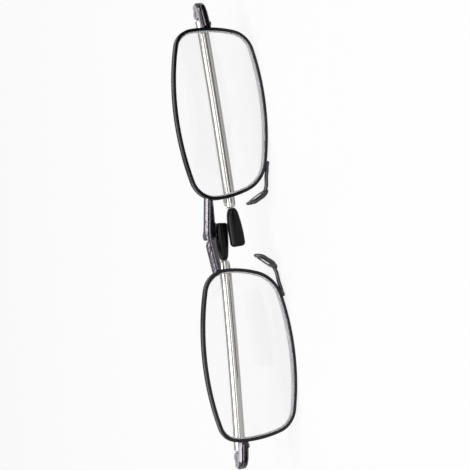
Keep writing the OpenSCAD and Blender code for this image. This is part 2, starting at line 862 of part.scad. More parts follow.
// Straight lengths of wire with a ball at each bend
module wire(route, r, ball_r) {
    for (i = [0:len(route) - 2])
        let (
            run = route[i + 1] - route[i],
            flat = norm([run.x, run.y])
        )
        translate(route[i])
            rotate([0, atan2(flat, run.z), heading(run)]) {
                cylinder(norm(run), r = r, $fn = 32);
                sphere(ball_r, $fn = 32);
            }
}

// Flat plate with two round ends in the pad frame, t thick round the middle plane
module pad_plate(low_r, high_r, half, t)
    translate([-t / 2, 0, 0])
        rotate([90, 0, 90])
            linear_extrude(t)
                polygon(oval(low_r, high_r, half));

module pad_arm_solid(grow) {
    wire(arm_route, arm_d / 2 + grow, bend_r + grow);
    in_pad()
        translate([0, 0, -paddle_low])
            pad_plate(
                paddle_r + grow, paddle_r * paddle_share + grow,
                pad_half - paddle_in + grow, paddle_t + 2 * grow
            );
}

module pad_arm(side) placed() on_side(side)
    color("#3a393c")
        pad_arm_solid(0);

module nose_pad(side) placed() on_side(side)
    color("#dfe3e2", 0.6)
        difference() {
            in_pad()
                intersection() {
                    pad_plate(pad_low_r, pad_high_r, pad_half, pad_t);
                    translate([pad_crown_r - pad_t / 2, 0, 0])
                        sphere(pad_crown_r, $fn = 128);
                }
            pad_arm_solid(seat_gap);
        }

// Nodes

rim(left);  // left_rim
lens(left);  // left_lens
closing_block(left);  // left_closing_block
rim_screw(left);  // left_rim_screw
end_piece(left);  // left_end_piece
hinge_screw(left);  // left_hinge_screw
temple_leaf(left);  // left_temple_leaf
temple_tube(left);  // left_temple_tube
tube_collar(left);  // left_tube_collar
slide_rod(left);  // left_slide_rod
spring_sleeve(left);  // left_spring_sleeve
temple_tip(left);  // left_temple_tip
pad_arm(left);  // left_pad_arm
nose_pad(left);  // left_nose_pad
left_bridge_half();
bridge_screw();
rim(right);  // right_rim
lens(right);  // right_lens
closing_block(right);  // right_closing_block
rim_screw(right);  // right_rim_screw
end_piece(right);  // right_end_piece
hinge_screw(right);  // right_hinge_screw
temple_leaf(right);  // right_temple_leaf
temple_tube(right);  // right_temple_tube
tube_collar(right);  // right_tube_collar
slide_rod(right);  // right_slide_rod
spring_sleeve(right);  // right_spring_sleeve
temple_tip(right);  // right_temple_tip
pad_arm(right);  // right_pad_arm
nose_pad(right);  // right_nose_pad
right_bridge_half();
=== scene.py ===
import math
import bmesh
import bpy
from mathutils import Matrix, Vector


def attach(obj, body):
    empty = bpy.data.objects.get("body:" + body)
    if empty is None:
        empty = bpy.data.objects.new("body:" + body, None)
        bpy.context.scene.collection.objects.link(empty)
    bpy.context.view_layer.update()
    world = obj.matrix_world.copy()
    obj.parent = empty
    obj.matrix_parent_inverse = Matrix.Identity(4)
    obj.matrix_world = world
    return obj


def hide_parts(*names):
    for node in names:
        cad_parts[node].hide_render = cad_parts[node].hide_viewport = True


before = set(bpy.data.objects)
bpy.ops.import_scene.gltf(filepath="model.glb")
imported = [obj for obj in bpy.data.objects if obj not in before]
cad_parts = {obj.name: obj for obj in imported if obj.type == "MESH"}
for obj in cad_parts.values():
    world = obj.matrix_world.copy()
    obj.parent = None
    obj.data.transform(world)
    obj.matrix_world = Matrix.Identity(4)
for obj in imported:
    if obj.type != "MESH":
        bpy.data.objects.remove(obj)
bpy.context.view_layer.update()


# Rims. Each is one drawn wire of nickel silver, bent to the outline of its lens and to the
# lens's base curve, with a groove inside for the lens. It is plated in black nickel and is
# slit at the temple side, where the rim lock closes it.

# Sizes are in millimetres, from between the lens centres on the plane that touches the front of
# both rims. The stand moves that place to where the frame has it, in metres.
front_plane = -6.0798
lens_level = 14.62
on_stand = Matrix.Scale(0.001, 4) @ Matrix.Translation((0, front_plane, lens_level))
swapped = Matrix.Diagonal((-1, 1, 1, 1))
wearer_side = {"left": 1, "right": -1}

base_curve = 95
lens_offset = 35.2
lens_width = 49.6
lens_height = 28.4
# Centre and radius of the temporal, top, nasal and bottom side of the outline
outline_sides = [
    (Vector((lens_width / 2 - 39.6, 1.1)), 39.6),
    (Vector((0.6, lens_height / 2 - 61.4)), 61.4),
    (Vector((31.9 - lens_width / 2, 4.3)), 31.9),
    (Vector((2.3, 112.5 - lens_height / 2)), 112.5),
]
# Radius of the corner before each side
outline_corners = [6.7, 6.5, 7.9, 9.6]
# The wire and how far inside the outline its path lies, then the radius of its edges, the
# groove for the lens and the channel outside
wire_width = 0.94
wire_depth = 1.8
wire_inwards = 0.05
wire_edge = 0.2
groove_deep = 0.3
groove_half = 0.4
channel_deep = 0.09
channel_half = 0.34
channel_floor = 0.12
# The slit of the rim lock, from the hinge's level, and the shortest step along the wire
hinge_level = {"left": 0.7, "right": 4.3}
lock_split = -0.5
lock_gap = 0.06
least_step = 0.05


def corner_centre(i):
    before, radius_before = outline_sides[i - 1]
    after, radius_after = outline_sides[i]
    a = radius_before - outline_corners[i]
    b = radius_after - outline_corners[i]
    gap = (after - before).length
    along = (after - before) / gap
    run = (a * a - b * b + gap * gap) / (2 * gap)
    rise = math.sqrt(a * a - run * run)
    return before + run * along + rise * Vector((-along.y, along.x))


def arc_points(centre, radius, start, end, steps):
    first = math.atan2(start.y, start.x)
    sweep = (math.atan2(end.y, end.x) - first) % (2 * math.pi)
    angles = [first + sweep * step / steps for step in range(steps)]
    return [centre + radius * Vector((math.cos(a), math.sin(a))) for a in angles]


def lens_outline(grow, steps=24):
    """Points round the lens, counterclockwise seen from the front, from its lower temple corner."""
    points = []
    for i in range(4):
        side_centre, side_radius = outline_sides[i]
        corner = corner_centre(i)
        turn = corner - side_centre
        points += arc_points(
            corner, outline_corners[i] + grow, corner - outline_sides[i - 1][0], turn, steps
        )
        points += arc_points(
            side_centre, side_radius + grow, turn, corner_centre((i + 1) % 4) - side_centre, steps
        )
    return points


def sag(u, v, radius=base_curve):
    return radius - math.sqrt(radius * radius - u * u - v * v)


def new_piece(name, mesh):
    piece = bpy.data.objects.new(name, mesh)
    bpy.context.scene.collection.objects.link(piece)
    return piece


def applied(piece):
    """Turns what the modifiers make of a piece into its plain mesh."""
    bpy.context.view_layer.update()
    made = piece.evaluated_get(bpy.context.evaluated_depsgraph_get())
    piece.data = bpy.data.meshes.new_from_object(made)
    piece.modifiers.clear()


def stood(mesh, sign):
    """Puts a mesh drawn on the wearer's left on its stand, mirrored for the right."""
    if sign < 0:
        mesh.transform(swapped)
    mesh.transform(on_stand)


def tidied(piece, smooth_angle):
    """Merges doubles, turns the faces outwards and shades the piece smooth up to an angle."""
    shape = bmesh.new()
    shape.from_mesh(piece.data)
    bmesh.ops.remove_doubles(shape, verts=shape.verts, dist=1e-7)
    bmesh.ops.recalc_face_normals(shape, faces=shape.faces)
    shape.to_mesh(piece.data)
    shape.free()
    piece.data.shade_smooth()
    piece.data.set_sharp_from_angle(angle=math.radians(smooth_angle))


def fitted(piece, body, slot, *nodes):
    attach(piece, body)
    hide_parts(*nodes)
    return piece


def linear(code):
    """A colour written as sRGB hex, as the shader wants it."""
    parts = [int(code[i:i + 2], 16) / 255 for i in (1, 3, 5)]
    return (*[c / 12.92 if c <= 0.04045 else ((c + 0.055) / 1.055) ** 2.4 for c in parts], 1)


def lay(tree, kind, values=None, links=None, **settings):
    """Adds a node with its settings, its input values and its links."""
    made = tree.nodes.new(kind)
    for key, value in settings.items():
        setattr(made, key, value)
    for key, value in (values or {}).items():
        made.inputs[key].default_value = value
    for key, source in (links or {}).items():
        tree.links.new(source, made.inputs[key])
    return made


def finish_named(name, colour, **values):
    """A material whose even values sit on its shader."""
    material = bpy.data.materials.new(name)
    material.use_nodes = True
    shader = material.node_tree.nodes["Principled BSDF"]
    shader.inputs["Base Color"].default_value = linear(colour)
    for key, value in values.items():
        shader.inputs[key.replace("_", " ")].default_value = value
    return material, material.node_tree, shader


# Black nickel on drawn wire: dark and even, with clouds of about 1 mm in its gloss and a grain
# of 0.2 mm, which is coarser than the real one so that it shows
black_nickel, tree, shader = finish_named("black_nickel_plating", "#424145", Metallic=1.0)
place = lay(tree, "ShaderNodeTexCoord")
cloud = lay(
    tree, "ShaderNodeTexNoise", {"Scale": 900, "Detail": 3}, {"Vector": place.outputs["Object"]}
)
gloss = lay(
    tree, "ShaderNodeMapRange", {"To Min": 0.2, "To Max": 0.34}, {"Value": cloud.outputs["Fac"]}
)
tree.links.new(gloss.outputs["Result"], shader.inputs["Roughness"])
grain = lay(
    tree, "ShaderNodeTexNoise", {"Scale": 6000, "Detail": 2}, {"Vector": place.outputs["Object"]}
)
relief = lay(
    tree, "ShaderNodeBump", {"Strength": 0.12, "Distance": 0.00003},
    {"Height": grain.outputs["Fac"]},
)
tree.links.new(relief.outputs["Normal"], shader.inputs["Normal"])

# Section of the wire, one wide and one deep, with rounded edges and the lens groove inside
edge_across = wire_edge / wire_width
edge_deep = wire_edge / wire_depth
edge_steps = 4
section = []
for cx, cy, first in ((0.5, 0.5, 0), (-0.5, 0.5, 90), (-0.5, -0.5, 180), (0.5, -0.5, 270)):
    for step in range(edge_steps + 1):
        angle = math.radians(first + 90 * step / edge_steps)
        section.append((
            math.copysign(0.5 - edge_across, cx) + edge_across * math.cos(angle),
            math.copysign(0.5 - edge_deep, cy) + edge_deep * math.sin(angle),
        ))
    if first == 90:
        inner = -0.5 + groove_deep / wire_width
        half = groove_half / wire_depth
        section += [(-0.5, half), (inner, half), (inner, -half), (-0.5, -half)]
# A shallow channel runs round the outer side
section += [
    (0.5, -channel_half / wire_depth),
    (0.5 - channel_deep / wire_width, -channel_floor / wire_depth),
    (0.5 - channel_deep / wire_width, channel_floor / wire_depth),
    (0.5, channel_half / wire_depth),
]
section_mesh = bpy.data.meshes.new("wire_section")
section_mesh.from_pydata(
    [(x, y, 0) for x, y in section], [(i, (i + 1) % len(section)) for i in range(len(section))], []
)
wire_section = new_piece("wire_section", section_mesh)

# The tree that draws the wire along its path
wire_tree = bpy.data.node_groups.new("rim_wire", "GeometryNodeTree")
wire_tree.interface.new_socket("Path", in_out="INPUT", socket_type="NodeSocketGeometry")
section_input = wire_tree.interface.new_socket(
    "Section", in_out="INPUT", socket_type="NodeSocketObject"
)
width_input = wire_tree.interface.new_socket(
    "Wire width", in_out="INPUT", socket_type="NodeSocketFloat"
)
depth_input = wire_tree.interface.new_socket(
    "Wire depth", in_out="INPUT", socket_type="NodeSocketFloat"
)
wire_tree.interface.new_socket("Wire", in_out="OUTPUT", socket_type="NodeSocketGeometry")
given = lay(wire_tree, "NodeGroupInput")
path = lay(wire_tree, "GeometryNodeMeshToCurve", links={"Mesh": given.outputs["Path"]})
level = lay(
    wire_tree, "GeometryNodeSetCurveNormal", links={"Curve": path.outputs["Curve"]}, mode="Z_UP"
)
drawn = lay(wire_tree, "GeometryNodeObjectInfo", links={"Object": given.outputs["Section"]})
sizes = lay(
    wire_tree, "ShaderNodeCombineXYZ", {"Z": 1},
    {"X": given.outputs["Wire width"], "Y": given.outputs["Wire depth"]},
)
sized = lay(
    wire_tree, "GeometryNodeTransform",
    links={"Geometry": drawn.outputs["Geometry"], "Scale": sizes.outputs["Vector"]},
)
profile = lay(wire_tree, "GeometryNodeMeshToCurve", links={"Mesh": sized.outputs["Geometry"]})
swept = lay(
    wire_tree, "GeometryNodeCurveToMesh", {"Fill Caps": True},
    {"Curve": level.outputs["Curve"], "Profile Curve": profile.outputs["Curve"]},
)
real = lay(wire_tree, "GeometryNodeRealizeInstances", links={"Geometry": swept.outputs["Mesh"]})
plated = lay(
    wire_tree, "GeometryNodeSetMaterial", {"Material": black_nickel},
    {"Geometry": real.outputs["Geometry"]},
)
lay(wire_tree, "NodeGroupOutput", links={"Wire": plated.outputs["Geometry"]})

# The path lies flat while the wire is drawn, then stands up with the front forward
stood_up = Matrix.Rotation(math.radians(90), 4, "X")
for side, sign in wearer_side.items():
    points = lens_outline(-wire_inwards)
    split = hinge_level[side] + lock_split + lock_gap / 2
    start = next(
        i for i in range(len(points))
        if points[i - 1].x > 0 and points[i - 1].y < split <= points[i].y
    )
    before, after = points[start - 1], points[start]
    share = (split - before.y) / (after.y - before.y)
    slit = before.lerp(after, share)
    half_gap = Vector((0, lock_gap / 2))
    points = [slit + half_gap] + points[start:] + points[:start] + [slit - half_gap]
    if points[1].y - points[0].y < least_step:
        points.pop(1)
    if points[-1].y - points[-2].y < least_step:
        points.pop(-2)
    path_mesh = bpy.data.meshes.new(side + "_rim_path")
    path_mesh.from_pydata(
        [(lens_offset + p.x, p.y, -sag(p.x, p.y) - wire_depth / 2) for p in points],
        [(i, i + 1) for i in range(len(points) - 1)],
        [],
    )
    rim = new_piece(side + "_rim_wire", path_mesh)
    drawing = rim.modifiers.new("wire", "NODES")
    drawing.node_group = wire_tree
    drawing[section_input.identifier] = wire_section
    drawing[width_input.identifier] = wire_width
    drawing[depth_input.identifier] = wire_depth
    applied(rim)
    rim.data.transform(stood_up)
    stood(rim.data, sign)
    tidied(rim, 40)
    fitted(rim, side + "_front", "rim_metal", side + "_rim")
bpy.data.objects.remove(wire_section)


# Lenses. Each is cast in clear allyl resin with a reading power, ground to the rim's outline
# and coated on both sides. Its edge carries a ground bevel that sits in the rim's groove.

# How far the bevel lies behind the rim's front, the lens's thickness in the middle and the
# radius of its back, then how far the bevel stands out and how wide it is
lens_setback = 0.5
lens_middle = 2.3
lens_back = 152
bevel_out = 0.27
bevel_width = 0.8
# The lens's outline clears the wire, and a facet is ground round its back
lens_clear = 0.03
glazed = -wire_inwards - wire_width / 2 - lens_clear
edge_facet = 0.5
# How far the edge of the lens's front lies behind the rim's, and how much flatter that front is
lens_edge_front = 0.25
lens_flatter = 0.26
outline_steps = 18
lens_rings = 10

# Cast resin with a clear coating: sharp and almost without colour, with slow waves of 17 mm
lens_resin, tree, shader = finish_named(
    "cast_lens_resin", "#FFFFFF", Roughness=0.0, IOR=1.5, Transmission_Weight=1.0,
    Specular_IOR_Level=0.25,
)
place = lay(tree, "ShaderNodeTexCoord")
wave = lay(
    tree, "ShaderNodeTexNoise", {"Scale": 60, "Detail": 1}, {"Vector": place.outputs["Object"]}
)
relief = lay(
    tree, "ShaderNodeBump", {"Strength": 0.02, "Distance": 0.00002},
    {"Height": wave.outputs["Fac"]},
)
tree.links.new(relief.outputs["Normal"], shader.inputs["Normal"])

# Ground edge: the same resin left matt by the wheel, so it looks pale grey through the lens,
# with a grit of 0.1 mm
ground_edge, tree, shader = finish_named("ground_lens_edge", "#F0F1F2", Roughness=0.6, IOR=1.5)
place = lay(tree, "ShaderNodeTexCoord")
grit = lay(
    tree, "ShaderNodeTexNoise", {"Scale": 9000, "Detail": 2}, {"Vector": place.outputs["Object"]}
)
relief = lay(
    tree, "ShaderNodeBump", {"Strength": 0.3, "Distance": 0.00003},
    {"Height": grit.outputs["Fac"]},
)
tree.links.new(relief.outputs["Normal"], shader.inputs["Normal"])


def back_depth(u, v):
    return lens_setback + lens_middle + sag(u, v, lens_back)


edge = lens_outline(glazed, outline_steps)
bevel = lens_outline(glazed + bevel_out, outline_steps)
facet = lens_outline(glazed - edge_facet, outline_steps)
count = len(edge)
shares = [math.sin(math.pi / 2 * ring / lens_rings) for ring in range(1, lens_rings + 1)]

# Loops of points from the middle of the front, round the edge to the middle of the back
loops = [
    [
        (p.x * s, sag(p.x * s, p.y * s) + lens_edge_front + lens_flatter * (1 - s * s), p.y * s)
        for p in edge
    ]
    for s in shares
]
for loop, depth in ((edge, 0), (bevel, 0), (bevel, bevel_width), (edge, bevel_width)):
    loops.append([(p.x, sag(p.x, p.y) + lens_setback + depth, p.y) for p in loop])
loops.append([(p.x, back_depth(p.x, p.y), p.y) for p in edge])
loops += [
    [(p.x * s, back_depth(p.x * s, p.y * s), p.y * s) for p in facet] for s in reversed(shares)
]
corners = [(0, lens_edge_front + lens_flatter, 0)]
for loop in loops:
    corners += loop
corners.append((0, back_depth(0, 0), 0))
faces = [(0, 1 + i, 1 + (i + 1) % count) for i in range(count)]
for row in range(len(loops) - 1):
    for i in range(count):
        j = (i + 1) % count
        a = 1 + row * count
        faces.append((a + i, a + count + i, a + count + j, a + j))
last = 1 + (len(loops) - 1) * count
faces += [(last + i, len(corners) - 1, last + (i + 1) % count) for i in range(count)]
# The wheel grinds the six bands from the front edge to the facet of the back
ground_bands = 6
ground = range(lens_rings * count, (lens_rings + ground_bands) * count)

for side, sign in wearer_side.items():
    lens_mesh = bpy.data.meshes.new(side + "_lens")
    lens_mesh.from_pydata(corners, [], faces)
    lens = new_piece(side + "_cast_lens", lens_mesh)
    lens.data.materials.append(lens_resin)
    lens.data.materials.append(ground_edge)
    for number in ground:
        lens.data.polygons[number].material_index = 1
    lens.data.transform(Matrix.Translation((lens_offset, 0, 0)))
    stood(lens.data, sign)
    tidied(lens, 30)
    fitted(lens, side + "_front", "lens", side + "_lens")


# End pieces, closing blocks and temple leaves. All are pressed and milled from nickel silver,
# tumbled until their edges are round, soldered or plugged in place and plated in gunmetal. An
# end piece has a pressed ridge along its front, and thin webs at its top and bottom.

# Corners merge within so many metres. Then, in degrees, how flat two faces are to become one,
# and from which angle an edge is rounded and stays sharp in the shading
merge_within = 2e-6
flat_within = 0.6
round_from = 28
sharp_from = 85
edge_segments = 3


def eased(node, edge, name, finish, body, slot):
    """The CAD piece with its edges rounded, as tumbling leaves them."""
    shape = bmesh.new()
    shape.from_mesh(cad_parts[node].data)
    bmesh.ops.remove_doubles(shape, verts=shape.verts, dist=merge_within)
    bmesh.ops.dissolve_limit(
        shape, angle_limit=math.radians(flat_within), verts=shape.verts, edges=shape.edges
    )
    mesh = bpy.data.meshes.new(name)
    shape.to_mesh(mesh)
    shape.free()
    piece = new_piece(name, mesh)
    mesh.materials.clear()
    mesh.materials.append(finish)
    rounding = piece.modifiers.new("rounding", "BEVEL")
    rounding.width = edge * 0.001
    rounding.segments = edge_segments
    rounding.limit_method = "ANGLE"
    rounding.angle_limit = math.radians(round_from)
    rounding.use_clamp_overlap = True
    even = piece.modifiers.new("even", "WEIGHTED_NORMAL")
    even.keep_sharp = True
    mesh.shade_smooth()
    mesh.set_sharp_from_angle(angle=math.radians(sharp_from))
    applied(piece)
    return fitted(piece, body, slot, node)


# Polished gunmetal plating: a mid grey with a purple cast, and polishing lines 0.6 mm apart
# along it, coarser than the real ones so that they show
gunmetal, tree, shader = finish_named("polished_gunmetal_plating", "#78757A", Metallic=1.0)
place = lay(tree, "ShaderNodeTexCoord")
along = lay(
    tree, "ShaderNodeMapping", {"Scale": (60, 1700, 1700)}, {"Vector": place.outputs["Object"]}
)
lines = lay(
    tree, "ShaderNodeTexNoise", {"Scale": 1, "Detail": 3}, {"Vector": along.outputs["Vector"]}
)
gloss = lay(
    tree, "ShaderNodeMapRange", {"To Min": 0.05, "To Max": 0.14}, {"Value": lines.outputs["Fac"]}
)
tree.links.new(gloss.outputs["Result"], shader.inputs["Roughness"])
relief = lay(
    tree, "ShaderNodeBump", {"Strength": 0.5, "Distance": 0.00008},
    {"Height": lines.outputs["Fac"]},
)
tree.links.new(relief.outputs["Normal"], shader.inputs["Normal"])

# The tree that draws a pressed ridge, square on its corner, along its line
ridge_tree = bpy.data.node_groups.new("pressed_ridge", "GeometryNodeTree")
ridge_tree.interface.new_socket("Line", in_out="INPUT", socket_type="NodeSocketGeometry")
ridge_input = ridge_tree.interface.new_socket(
    "Ridge height", in_out="INPUT", socket_type="NodeSocketFloat"
)
ridge_tree.interface.new_socket("Ridge", in_out="OUTPUT", socket_type="NodeSocketGeometry")
given = lay(ridge_tree, "NodeGroupInput")
line = lay(ridge_tree, "GeometryNodeMeshToCurve", links={"Mesh": given.outputs["Line"]})
upright = lay(
    ridge_tree, "GeometryNodeSetCurveNormal", links={"Curve": line.outputs["Curve"]}, mode="Z_UP"
)
square = lay(
    ridge_tree, "GeometryNodeCurvePrimitiveCircle", {"Resolution": 4},
    {"Radius": given.outputs["Ridge height"]}, mode="RADIUS",
)
swept = lay(
    ridge_tree, "GeometryNodeCurveToMesh", {"Fill Caps": True},
    {"Curve": upright.outputs["Curve"], "Profile Curve": square.outputs["Curve"]},
)
real = lay(ridge_tree, "GeometryNodeRealizeInstances", links={"Geometry": swept.outputs["Mesh"]})
plated = lay(
    ridge_tree, "GeometryNodeSetMaterial", {"Material": gunmetal},
    {"Geometry": real.outputs["Geometry"]},
)
lay(ridge_tree, "NodeGroupOutput", links={"Ridge": plated.outputs["Geometry"]})

# The ridge's height, and how far it lies behind a piece's front edge and below its top
ridge_height = 0.4
ridge_inset = 0.05
ridge_down = 1.2


def ridged(piece, sign, places):
    """The piece with a pressed ridge along these places on the wearer's left, or mirrored."""
    line_mesh = bpy.data.meshes.new(piece.name + "_ridge_line")
    line_mesh.from_pydata(places, [(i, i + 1) for i in range(len(places) - 1)], [])
    ridge = new_piece(piece.name + "_ridge", line_mesh)
    pressing = ridge.modifiers.new("ridge", "NODES")
    pressing.node_group = ridge_tree
    pressing[ridge_input.identifier] = ridge_height
    applied(ridge)
    stood(ridge.data, sign)
    both = bmesh.new()
    both.from_mesh(piece.data)
    both.from_mesh(ridge.data)
    both.to_mesh(piece.data)
    both.free()
    bpy.data.objects.remove(ridge)


# Front line of an end piece, from the rim round the outer corner, then the height of its top
# over the middle of the hinge, and its own height
end_front = [(60.9, 3.43), (65.1, 4.62), (67.55, 5.82), (67.9, 6.35)]
end_rise = 1.2
end_tall = 3
# Webs that close the corner between a knuckle and the outer wall
web_middle = Vector((66.7, 7.6, 0))
web_size = (1.0, 1.7)
web_thick = 0.5
for side, sign in wearer_side.items():
    end_piece = eased(
        side + "_end_piece", 0.14, side + "_tumbled_end_piece", gunmetal,
        side + "_front", "gunmetal",
    )
    end_top = hinge_level[side] + end_rise
    ridged(end_piece, sign, [(x, y + ridge_inset, end_top - ridge_down) for x, y in end_front])
    webbed = bmesh.new()
    webbed.from_mesh(end_piece.data)
    for web_level in (end_top - web_thick / 2, end_top - end_tall + web_thick / 2):
        web_place = Matrix.Translation(web_middle + Vector((0, 0, web_level)))
        web_box = Matrix.Diagonal((*web_size, web_thick, 1))
        flipped = swapped if sign < 0 else Matrix()
        bmesh.ops.create_cube(webbed, size=1, matrix=on_stand @ flipped @ web_place @ web_box)
    bmesh.ops.recalc_face_normals(webbed, faces=webbed.faces)
    webbed.to_mesh(end_piece.data)
    webbed.free()
    eased(
        side + "_closing_block", 0.08, side + "_tumbled_closing_block", gunmetal,
        side + "_front", "gunmetal",
    )
    eased(
        side + "_temple_leaf", 0.06, side + "_tumbled_leaf", gunmetal,
        side + "_temple", "gunmetal",
    )


# Screws of the rim locks, the temple hinges and the bridge. All are turned from steel, with
# cheese heads that are slotted with a saw, and plated in gunmetal as the pieces round them.

# Plated turned steel: duller than the polished pieces, with turning marks of 0.14 mm
turned_steel, tree, shader = finish_named("plated_turned_steel", "#817E85", Metallic=1.0)
place = lay(tree, "ShaderNodeTexCoord")
turning = lay(
    tree, "ShaderNodeTexNoise", {"Scale": 7000, "Detail": 2}, {"Vector": place.outputs["Object"]}
)
gloss = lay(
    tree, "ShaderNodeMapRange", {"To Min": 0.2, "To Max": 0.38}, {"Value": turning.outputs["Fac"]}
)
tree.links.new(gloss.outputs["Result"], shader.inputs["Roughness"])
for side in wearer_side:
    eased(
        side + "_rim_screw", 0.05, side + "_turned_rim_screw", turned_steel,
        side + "_front", "screw_steel",
    )
    eased(
        side + "_hinge_screw", 0.05, side + "_turned_hinge_screw", turned_steel,
        side + "_front", "screw_steel",
    )
eased("bridge_screw", 0.06, "turned_bridge_screw", turned_steel, "left_front", "screw_steel")


# Bridge. Two pressed halves of nickel silver are soldered to the rims, lap behind their front
# faces and turn on an upright screw, so that the glasses fold in the middle. A pressed ridge
# runs along the front of each half, from the rim to the seam.

# The top front edge of a half at the rim, beside the screw and at the seam, which lies a little
# to the wearer's right
edge_at_rim = Vector((10.2, 3.81, 6.93))
edge_at_knuckle = Vector((1.25, 8.49, 6.1))
edge_at_seam = Vector((-0.55, 8.29, 6.1))
seam_far_side = 0.65
for side, sign in wearer_side.items():
    half = eased(
        side + "_bridge_half", 0.16, side + "_pressed_bridge_half", gunmetal,
        side + "_front", "gunmetal",
    )
    end = edge_at_seam if sign > 0 else Vector((seam_far_side, edge_at_seam.y, edge_at_seam.z))
    ridge_shift = Vector((0, ridge_inset, -ridge_down))
    ridged(half, sign, [spot + ridge_shift for spot in (edge_at_rim, edge_at_knuckle, end)])


# Temple tubes and their collars. The tubes are drawn from nickel silver and polished, with a
# fine grain along them. The turned collars close them round the rods, bright and domed.

# Drawn and polished nickel silver: bright and a little warm, with draw lines of 0.14 mm
drawn_tube, tree, shader = finish_named("drawn_nickel_silver", "#E4E2E0", Metallic=1.0)
place = lay(tree, "ShaderNodeTexCoord")
along = lay(
    tree, "ShaderNodeMapping", {"Scale": (120, 7000, 7000)}, {"Vector": place.outputs["Object"]}
)
lines = lay(
    tree, "ShaderNodeTexNoise", {"Scale": 1, "Detail": 3}, {"Vector": along.outputs["Vector"]}
)
gloss = lay(
    tree, "ShaderNodeMapRange", {"To Min": 0.05, "To Max": 0.12}, {"Value": lines.outputs["Fac"]}
)
tree.links.new(gloss.outputs["Result"], shader.inputs["Roughness"])
relief = lay(
    tree, "ShaderNodeBump", {"Strength": 0.08, "Distance": 0.00002},
    {"Height": lines.outputs["Fac"]},
)
tree.links.new(relief.outputs["Normal"], shader.inputs["Normal"])

# Turned nickel silver: brighter still, with turning marks of 0.25 mm in its gloss
turned_collar, tree, shader = finish_named("turned_nickel_silver", "#F0EEEB", Metallic=1.0)
place = lay(tree, "ShaderNodeTexCoord")
turning = lay(
    tree, "ShaderNodeTexNoise", {"Scale": 4000, "Detail": 2}, {"Vector": place.outputs["Object"]}
)
gloss = lay(
    tree, "ShaderNodeMapRange", {"To Min": 0.08, "To Max": 0.16}, {"Value": turning.outputs["Fac"]}
)
tree.links.new(gloss.outputs["Result"], shader.inputs["Roughness"])
for side in wearer_side:
    eased(
        side + "_temple_tube", 0.1, side + "_drawn_tube", drawn_tube,
        side + "_temple", "tube_metal",
    )
    eased(
        side + "_tube_collar", 0.06, side + "_turned_collar", turned_collar,
        side + "_temple", "collar_metal",
    )


# Slide rods and their spring sleeves. The rods are ground and plated wire, and the slit brass
# sleeves on their inner ends brake them in the tubes.

# Bare brass: yellow, with a patchy gloss where it has tarnished, in spots of 0.7 mm
bare_brass, tree, shader = finish_named("bare_brass", "#CDAE70", Metallic=1.0)
place = lay(tree, "ShaderNodeTexCoord")
tarnish = lay(
    tree, "ShaderNodeTexNoise", {"Scale": 1500, "Detail": 3}, {"Vector": place.outputs["Object"]}
)
gloss = lay(
    tree, "ShaderNodeMapRange", {"To Min": 0.22, "To Max": 0.42}, {"Value": tarnish.outputs["Fac"]}
)
tree.links.new(gloss.outputs["Result"], shader.inputs["Roughness"])
for side in wearer_side:
    eased(
        side + "_slide_rod", 0.05, side + "_plated_rod", turned_collar,
        side + "_slider", "collar_metal",
    )
    eased(
        side + "_spring_sleeve", 0.04, side + "_slit_sleeve", bare_brass,
        side + "_slider", "sleeve_brass",
    )


# Temple tips. They are moulded from black plastic on the ends of the rods: round at the neck,
# deeper and flatter towards the free end, with all edges rounded.

# Moulded black plastic: deep black and half glossy, with moulding ripples of 0.6 mm
black_plastic, tree, shader = finish_named(
    "moulded_black_plastic", "#0C0C0D", IOR=1.5, Specular_IOR_Level=0.3
)
place = lay(tree, "ShaderNodeTexCoord")
cloud = lay(
    tree, "ShaderNodeTexNoise", {"Scale": 1200, "Detail": 3}, {"Vector": place.outputs["Object"]}
)
gloss = lay(
    tree, "ShaderNodeMapRange", {"To Min": 0.14, "To Max": 0.26}, {"Value": cloud.outputs["Fac"]}
)
tree.links.new(gloss.outputs["Result"], shader.inputs["Roughness"])
ripple = lay(
    tree, "ShaderNodeTexNoise", {"Scale": 1800, "Detail": 2}, {"Vector": place.outputs["Object"]}
)
relief = lay(
    tree, "ShaderNodeBump", {"Strength": 0.15, "Distance": 0.00006},
    {"Height": ripple.outputs["Fac"]},
)
tree.links.new(relief.outputs["Normal"], shader.inputs["Normal"])

temple_droop = {"left": 2.7, "right": 3.5}
temple_turn = {"left": 0.0, "right": 2.6}
hinge_out = 65
hinge_back = 7.294
tip_start = 57.6
# Each tip from its neck to its end: distance from the neck, height above the temple's axis,
# depth below it and half the thickness
tip_shape = {
    "left": [
        (0, 0.55, 1.15, 0.9), (0.6, 1.05, 1.85, 1.2), (2, 1.5, 2.2, 1.3), (4.5, 1.72, 2.6, 1.3),
        (7.5, 1.78, 2.88, 1.3), (11.5, 1.75, 2.9, 1.3),
    ],
    "right": [
        (0, 0.8, 0.8, 0.8), (0.6, 1.35, 1.25, 1.15), (2, 1.7, 1.5, 1.3), (5, 1.85, 1.8, 1.3),
        (8, 1.95, 1.95, 1.3), (11.5, 2.05, 2, 1.3),
    ],
}
# Length of each tip and the radius of its end
tip_end = {"left": (11.5, 1.15), "right": (11.1, 0.85)}
tip_blend = 0.5
tip_rings = 32
tip_end_rings = 9
tip_round_steps = 48


def temple_frame(side):
    """X runs from the hinge along the temple, Z is up across it."""
    sign = wearer_side[side]
    droop = math.radians(temple_droop[side])
    turn = math.radians(temple_turn[side])
    along = Vector((
        -sign * math.cos(droop) * math.cos(turn), math.cos(droop) * math.sin(turn), -math.sin(droop)
    ))
    across = Vector((sign * math.sin(turn), math.cos(turn), 0))
    up = along.cross(across)
    if up.z < 0:
        up = -up
    turned = Matrix((along, across, up)).transposed().to_4x4()
    return Matrix.Translation((sign * hinge_out, hinge_back, hinge_level[side])) @ turned


